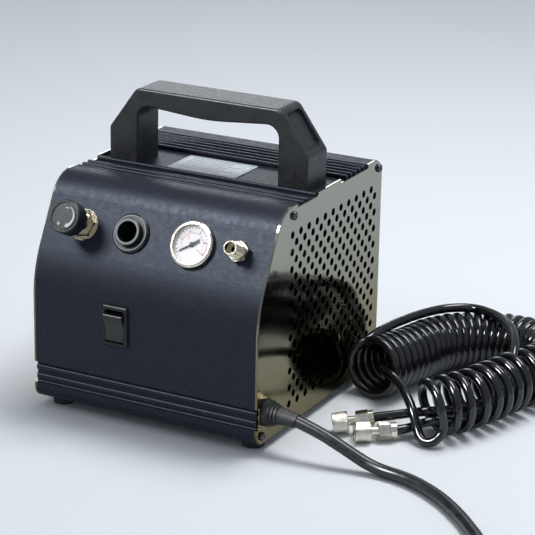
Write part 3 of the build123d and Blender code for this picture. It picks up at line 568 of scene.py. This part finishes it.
PITCHES = [(-0.03, 7.6), (0.03, 6.9), (0.45, 6.8), (0.60, 7.8), (0.69, 10.0), (0.71, 13.8), (0.735, 13.8),
           (0.755, 10.0), (0.87, 10.8), (1.0, 11.4)]
START_SHARE = -0.03
START_PHASE, END_PHASE = radians(140), radians(165)
MOUTH_FLARE, END_FLARE = 1.6, 0.6
FLARED_SHARE, LOOSE_FROM = 0.14, 0.62


def pitch_at(share):
    """Distance from turn to turn in millimetres, at that share of the coil's length."""
    for (a, low), (b, high) in zip(PITCHES, PITCHES[1:]):
        if share <= b:
            return low + (high - low) * max(0.0, share - a) / (b - a)
    return PITCHES[-1][1]


def helix():
    """The coil's left-handed turns from its far mouth to its near one, a little uneven."""
    step = axis.length * 0.0005
    start = START_SHARE * axis.length
    shares, phases = [], []
    distance, phase = start, 0.0
    while distance <= axis.length:
        shares.append(distance)
        phases.append(phase)
        phase += 2 * pi * step / (pitch_at(distance / axis.length) * MM)
        distance += step
    whole = ceil((phases[-1] + START_PHASE - END_PHASE) / (2 * pi)) * 2 * pi
    total = whole - START_PHASE + END_PHASE
    count = round(total / (2 * pi) * POINTS_PER_TURN)
    bulge = 1 / cos(pi / POINTS_PER_TURN)
    places, i = [], 0
    for k in range(count + 1):
        wanted = phases[-1] * k / count
        while i < len(phases) - 2 and phases[i + 1] < wanted:
            i += 1
        distance = shares[i] + (wanted - phases[i]) / (phases[i + 1] - phases[i]) * step
        share = distance / axis.length
        angle = START_PHASE + total * k / count
        loose = max(0.0, share - LOOSE_FROM) / (1 - LOOSE_FROM)
        flare = MOUTH_FLARE * max(0.0, 1 - (share - START_SHARE) / FLARED_SHARE) + END_FLARE * loose
        radius = (HELIX_RADIUS * bulge + flare) * MM
        radius -= (0.25 + 0.45 * loose) * MM * (0.5 + 0.5 * sin(0.37 * angle + 1.3))
        lean = (0.8 + 2.4 * loose) * MM * sin(angle - 0.6) + 0.9 * loose * MM * sin(0.61 * angle)
        place, heading = axis.at(distance)
        across = heading.cross(Vector((0, 0, 1))).normalized()
        place = place + across * (radius * cos(angle)) + Vector((0, 0, radius * sin(angle) + flare * MM))
        places.append(place + heading * lean)
    return places


def bore_run(start, end, right, up, steps):
    """Places inside the coil's bore, from one distance along it to another."""
    places = []
    for i in range(steps + 1):
        share = i / steps
        side = right[0] + (right[1] - right[0]) * share
        height = up[0] + (up[1] - up[0]) * share
        places.append(axis.beside((start + (end - start) * share) * MM, side * MM, height * MM))
    return places


FITTING_LENGTH = 21.8
NUT_RADIUS, NUT_LENGTH, NUT_TILT = 6.75, 10.0, radians(10)
level_nut_z = NUT_RADIUS - UNDERSIDE / MM + 0.02
tilted_nut_z = level_nut_z + NUT_RADIUS * (cos(NUT_TILT) - 1) + NUT_LENGTH / 2 * sin(NUT_TILT)
nut_places = {
    "a": (case(110.8, 61.0, tilted_nut_z), Vector((0.889, 0.457, tan(NUT_TILT))).normalized()),
    "b": (case(128.6, 56.1, level_nut_z), Vector((0.8, 0.6, 0.0))),
}
hose_starts = {end: centre + heading * FITTING_LENGTH * MM for end, (centre, heading) in nut_places.items()}
lead_a = [(143.5, 79.2, 7.3), (157, 88.2, 9)]
lead_b = [(151.5, 75.3, 0.2), (160.5, 84.5, 4.2)]
over_route = [
    (188, 160, 27),
    (186, 169, 32),
    (176, 190, 35),
    (160, 208, 35.5),
    (139, 217, 35.5),
    (121, 210, 35),
    (109, 192, 34.5),
    (101, 168, 34),
    (96.5, 150, 33),
    (94.5, 138, 31),
]
bridge_route = [
    (177, 75.5, 5),
    (173, 68.5, -2.2),
    (164.5, 68.5, -3.1),
    (159, 73, 2.5),
    (154.3, 77.2, 11),
    (148.5, 83, 16),
    (140, 91.5, 19.8),
    (129.5, 102, 21.2),
    (118.5, 113, 19.8),
    (110, 122.5, 16.8),
    (105.2, 131, 13.6),
]
bore_mouth = axis.length / MM
gap_at = bore_mouth * 0.725
hose_points = (
    [hose_starts["a"]]
    + [case(*p) for p in lead_a]
    + bore_run(bore_mouth - 16, gap_at + 14, (5.5, 2.0), (-6.5, -9.0), 3)
    + [axis.beside((gap_at + 2) * MM, 1.0 * MM, 1.0 * MM)]
    + [axis.beside((gap_at - 1) * MM, 0.5 * MM, 13.0 * MM)]
    + [case(*p) for p in over_route]
    + helix()
    + [case(*p) for p in bridge_route]
    + bore_run(16, bore_mouth - 22, (0.5, -2.5), (-8.0, -10.0), 14)
    + [case(*p) for p in lead_b[::-1]]
    + [hose_starts["b"]]
)
hose_line = line_object("air_hose_line", hose_points, HOSE_DIAMETER / 2 * MM)
hose_line.data.materials.append(hose_black)
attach(hose_line, ROOT)
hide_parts("hose_coil", "hose_over", "hose_bridge", "hose_lead_a", "hose_lead_b")

# ---------------------------------------------------------------- fine detail
def threaded(crest, depth, pitch, start, end):
    """Radius rule for turned(): a screw thread of that crest radius between two heights."""
    def radius_at(angle, radius, height):
        if abs(radius - crest) > 0.01 or not start < height < end:
            return radius
        turn = (height / pitch - angle / (2 * pi)) % 1.0
        return crest - depth * (1 - abs(2 * turn - 1))
    return radius_at


def rows(radius, start, end, step):
    """Profile points up a cylinder, close enough to carry a thread or a knurl."""
    count = round(abs(end - start) / step)
    return [(radius, start + (end - start) * i / count) for i in range(count + 1)]


def hexagon(across_flats, turn, low, high, slope=1.2):
    """Radius rule for turned(): six flats with turned-off corners at both ends."""
    def radius_at(angle, radius, height):
        if radius < across_flats / 2 - 0.01:
            return radius
        off_flat = (angle - turn) % (pi / 3) - pi / 6
        end_gap = min(height - low, high - height)
        return min(across_flats / 2 / cos(off_flat), across_flats / 2 * 1.06 + slope * end_gap)
    return radius_at


def knurled_nut(name, end):
    """Swivel nut with a crossed knurl and a threaded mouth; its middle is at height 0."""
    radius, half, teeth, pitch = NUT_RADIUS, NUT_LENGTH / 2, 30, 1.5

    def knurl(angle, r, height):
        if abs(r - radius) > 0.01 or abs(height) > half - 0.9:
            return r
        rise, fall = angle * teeth / 2 + pi * height / pitch, angle * teeth / 2 - pi * height / pitch
        return r - 0.42 * (1 - min(1.0, 1.5 * abs(sin(rise)) * abs(sin(fall)) + 0.25))

    profile = [(radius - 0.5, -half)] + rows(radius, -half + 0.5, half - 0.5, 0.25) + [(radius - 0.5, half)]
    profile += [(3.12, half), (3.12, half - 2), (5.25, half - 2), (5.25, -1.0)]
    thread_turns = 4
    for i in range(thread_turns):
        top = -1.0 - (half - 1.0) * i / thread_turns
        profile += [(4.9, top), (4.45, top - 0.45)]
    profile += [(4.9, -half + 0.1), (5.2, -half)]
    bm = bmesh.new()
    turned(bm, profile, 180, knurl)
    centre, heading = nut_places[end]
    mesh = to_mesh(name, bm, along(centre, heading), 50)
    return piece(name, mesh, nickel, f"swivel_nut_{end}", "nickel", f"hose_nut_{end}")


nuts = [knurled_nut("knurled_nut_a", "a"), knurled_nut("knurled_nut_b", "b")]


def outlet():
    """Hexagon with a threaded stub and a stepped bore."""
    crest, hex_height, reach, inner = 4.865, 4.6, 16.0, -14.0
    bm = bmesh.new()
    profile = [(crest, inner)] + rows(crest, inner + 0.2, reach - 0.7, 0.15) + [(crest - 0.5, reach)]
    profile += [(3.7, reach), (3.7, reach - 6.5), (2.2, reach - 6.5), (2.2, inner)]
    turned(bm, profile, 72, threaded(crest, 0.5, 0.907, hex_height + 0.6, reach - 0.8))
    hex_radius = 12.6 / 2
    ring_profile = [(crest, 0), (hex_radius, 0)] + rows(hex_radius, 0.15, hex_height - 0.15, 0.4)
    ring_profile += [(hex_radius, hex_height), (crest, hex_height)]
    turned(bm, ring_profile, 72, hexagon(12.6, radians(20), 0, hex_height))
    mesh = to_mesh("outlet_threaded", bm, on_panel(OUTLET_X, 0, OUTLET_RISE))
    piece("outlet_threaded", mesh, warm_nickel, ROOT, "nickel", "outlet_fitting")


outlet()

KNOB_FACE = 26.0
INK = 0.06


def knob_print():
    """White turning arrow with a minus and a plus, printed on the knob's face."""
    bm = bmesh.new()
    low, high = KNOB_FACE, KNOB_FACE + INK
    band(bm, (6.9, 5.7), (7.2, 7.5), 68, -52, low, high, 30)
    tip = arc_points(6.7, -74, -52, 1)[0]
    wings = [arc_points(r, -52, -52, 1)[0] for r in (4.9, 8.2)]
    plate(bm, [tip, wings[1], wings[0]][::-1], low, high)
    for centre in ((1.0, 5.6), (-2.9, -5.0)):
        bar(bm, centre, 2.3, 0.7, 0, low, high)
    bar(bm, (-2.9, -5.0), 2.3, 0.7, 90, low, high)
    mesh = to_mesh("knob_print", bm, on_panel(KNOB_X))
    piece("knob_print", mesh, white_ink, "knob", "label_grey")


knob_print()

DIAL_TOP = 0.8
ZERO_ANGLE, SWEEP = 213.0, 246.0


def dial_angle(share):
    return ZERO_ANGLE - SWEEP * share


def dial_marks(name, material, slot, radii, long_radii, divisions, long_every, width):
    """Scale marks over the pointer's sweep; radii are (inner, outer) pairs."""
    bm = bmesh.new()
    for i in range(divisions + 1):
        inner, outer = long_radii if i % long_every == 0 else radii
        angle = dial_angle(i / divisions)
        middle = (inner + outer) / 2
        centre = (middle * cos(radians(angle)), middle * sin(radians(angle)))
        bar(bm, centre, outer - inner, width, angle, DIAL_TOP, DIAL_TOP + INK)
    mesh = to_mesh(name, bm, on_panel(GAUGE_X))
    return piece(name, mesh, material, ROOT, slot)


dial_marks("dial_scale_outer", black_ink, "gloss_black", (10.5, 11.5), (9.8, 11.5), 20, 2, 0.3)
dial_marks("dial_scale_inner", red_ink, "pointer_red", (7.1, 7.8), (6.7, 7.8), 15, 5, 0.28)


def dial_arcs():
    bm = bmesh.new()
    end = dial_angle(1.0)
    band(bm, 11.5, 11.62, ZERO_ANGLE, end, DIAL_TOP, DIAL_TOP + INK, 60)
    piece("dial_arc_outer", to_mesh("dial_arc_outer", bm, on_panel(GAUGE_X)), black_ink, ROOT, "gloss_black")
    bm = bmesh.new()
    band(bm, 7.8, 7.92, ZERO_ANGLE, end, DIAL_TOP, DIAL_TOP + INK, 60)
    band(bm, 10.0, 10.5, dial_angle(0.8), end, DIAL_TOP + 0.01, DIAL_TOP + INK + 0.02, 24)
    piece("dial_arc_inner", to_mesh("dial_arc_inner", bm, on_panel(GAUGE_X)), red_ink, ROOT, "pointer_red")


dial_arcs()


def dial_numbers(name, labels, radius, size, material, slot):
    """Numbers at even shares of the sweep, joined into one mesh."""
    bm = bmesh.new()
    for i, label in enumerate(labels):
        text = bpy.data.curves.new("number", "FONT")
        text.body, text.size = label, size * MM
        text.align_x, text.align_y = "CENTER", "CENTER"
        text.extrude = INK / 2 * MM
        holder = bpy.data.objects.new("number", text)
        mesh = bpy.data.meshes.new_from_object(holder)
        angle = radians(dial_angle(i / (len(labels) - 1)))
        place = (radius * cos(angle) * MM, radius * sin(angle) * MM, (DIAL_TOP + INK / 2) * MM)
        mesh.transform(Matrix.Translation(place))
        bm.from_mesh(mesh)
        bpy.data.objects.remove(holder)
        bpy.data.curves.remove(text)
        bpy.data.meshes.remove(mesh)
    piece(name, to_mesh(name, bm, on_panel(GAUGE_X)), material, ROOT, slot)


dial_numbers("dial_numbers_outer", ["0", "2", "4", "6", "8", "10"], 8.75, 2.3, black_ink, "gloss_black")
dial_numbers("dial_numbers_inner", ["0", "50", "100", "150"], 5.4, 1.7, red_ink, "pointer_red")


def holder_highlight_rings():
    """Painted highlights: paler rings on the airbrush holder where its chamfered edges catch the light."""
    bm = bmesh.new()
    # Two painted highlight rings, one on the holder's front chamfer and one on its flange edge.
    band(bm, 7.2, 8.4, 0, 360, 6.4, 6.4 + INK, 72)
    band(bm, 10.9, 11.65, 0, 360, 2.6, 2.6 + INK, 72)
    mesh = to_mesh("holder_highlight_rings", bm, on_panel(HOLDER_X))
    piece("holder_highlight_rings", mesh, collar_highlight_ink, ROOT, "black_plastic")


holder_highlight_rings()


def label_print():
    """A frame and rows of bars where a rating label has its print."""
    low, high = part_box("label_plate")
    middle, size = (low + high) / 2, (high - low) / MM
    bm = bmesh.new()
    for side in (-1, 1):
        bar(bm, (0, side * (size.y / 2 - 1.6)), size.x - 3.2, 0.3, 0, 0, INK)
        bar(bm, (side * (size.x / 2 - 1.6), 0), 0.3, size.y - 3.2, 0, 0, INK)
    for i in range(7):
        length = (size.x - 9) * (0.55 + 0.4 * abs(sin(2.1 * i + 0.5)))
        bar(bm, (-(size.x - 9 - length) / 2, size.y / 2 - 5 - 3.6 * i), length, 0.9, 0, 0, INK)
    mesh = to_mesh("label_print", bm, Matrix.Translation((middle.x, middle.y, high.z)))
    piece("label_print", mesh, label_ink, ROOT, "label_grey")


label_print()


def cord_tie(angle):
    """Strap round the put-away turns of the mains cord."""
    inner, outer = COIL_RADIUS - 1.5 * CORD_DIAMETER, COIL_RADIUS + 1.5 * CORD_DIAMETER
    thick, width, corner, steps = 0.9, 12.0, 3.5, 6
    floor, top = 0.0, 2 * CORD_DIAMETER + 1.2
    bm = bmesh.new()
    loops = []
    for grow in (thick, 0.0):
        low_r, high_r = inner - 0.3 - grow, outer + 0.3 + grow
        low_z, high_z = floor + thick - grow, top - thick + grow
        outline = []
        corners = ((high_r, high_z, 0), (low_r, high_z, 90), (low_r, low_z, 180), (high_r, low_z, 270))
        for cx, cz, start in corners:
            mx = cx - corner if cx == high_r else cx + corner
            mz = cz - corner if cz == high_z else cz + corner
            for i in range(steps + 1):
                a = radians(start + 90 * i / steps)
                outline.append((mx + corner * cos(a), mz + corner * sin(a)))
        for side in (-0.5, 0.5):
            loops.append([bm.verts.new((r * MM, side * width * MM, z * MM)) for r, z in outline])
    outer_a, outer_b, inner_a, inner_b = loops
    count = len(outer_a)
    for i in range(count):
        k = (i + 1) % count
        for first, second in ((outer_a, outer_b), (outer_b, inner_b), (inner_b, inner_a), (inner_a, outer_a)):
            bm.faces.new((first[i], first[k], second[k], second[i]))
    centre = case(*coil_centre, 0)
    place = Matrix.Translation((centre.x, centre.y, 0)) @ Matrix.Rotation(radians(angle), 4, "Z")
    return piece("cord_tie", to_mesh("cord_tie", bm, place), strap, ROOT, "rubber")


tie = cord_tie(130)

# ---------------------------------------------------------------- floor, light and camera
def flat_card(name, centre, facing, width, height, colour, roughness=0.8):
    """A rectangle that isn't part of the object, such as the floor."""
    bm = bmesh.new()
    bmesh.ops.create_grid(bm, x_segments=8, y_segments=8, size=0.5)
    bm.transform(along(Vector(centre), Vector(facing)) @ Matrix.Diagonal((width, height, 1, 1)))
    mesh = bpy.data.meshes.new(name)
    bm.to_mesh(mesh)
    bm.free()
    shader = Shader(name, colour, roughness)
    mesh.materials.append(shader.material)
    made = bpy.data.objects.new(name, mesh)
    scene.collection.objects.link(made)
    return made


flat_card("studio_floor", (0, 0, -0.0003), (0, 0, 1), 12, 12, (0.80, 0.83, 0.86), 0.9)


def softbox(name, place, target, width, height, power, colour=(1, 1, 1)):
    light = bpy.data.lights.new(name, "AREA")
    light.shape = "RECTANGLE"
    light.size, light.size_y = width, height
    light.energy = power
    light.color = colour
    made = bpy.data.objects.new(name, light)
    scene.collection.objects.link(made)
    made.location = place
    made.rotation_euler = (Vector(target) - Vector(place)).to_track_quat("-Z", "Y").to_euler()
    return made


softbox("top_light", (0.25, 0.35, 1.35), (0.08, 0.05, 0), 0.8, 0.5, 14.5, (0.98, 0.99, 1.0))
for name, place, target, width, height, power in (
    ("panel_sheen", (-0.51, -0.96, 1.14), (0, -0.064, 0.125), 0.5, 0.4, 42),
    ("handle_sheen", (-0.85, 1.45, 0.68), (0, 0.03, 0.19), 0.7, 0.4, 3.2),
):
    sheen = softbox(name, place, target, width, height, power, (0.96, 0.98, 1.0))
    sheen.visible_diffuse = False

world = bpy.data.worlds.new("studio_air")
scene.world = world
world.use_nodes = True
world.node_tree.nodes["Background"].inputs["Color"].default_value = (0.86, 0.91, 1.0, 1)
world.node_tree.nodes["Background"].inputs["Strength"].default_value = 0.42
scene.view_settings.view_transform = "Standard"

CAMERA_PLACE = (0.6615, -1.1706, 0.550)
FOCAL_LENGTH, SENSOR_WIDTH = 145.2, 36
YAW, DIP, ROLL = radians(27.75), radians(18.98), radians(1.054)
forward = Vector((-sin(YAW) * cos(DIP), cos(YAW) * cos(DIP), -sin(DIP)))
level_right = Vector((cos(YAW), sin(YAW), 0))
level_up = level_right.cross(forward)
right = level_right * cos(ROLL) + level_up * sin(ROLL)
up = level_up * cos(ROLL) - level_right * sin(ROLL)
lens = bpy.data.cameras.new("camera")
lens.lens = FOCAL_LENGTH
lens.sensor_width = SENSOR_WIDTH
lens.clip_start, lens.clip_end = 0.05, 50
camera = bpy.data.objects.new("camera", lens)
scene.collection.objects.link(camera)
camera.matrix_world = Matrix.Translation(CAMERA_PLACE) @ Matrix((right, up, -forward)).transposed().to_4x4()
scene.camera = camera
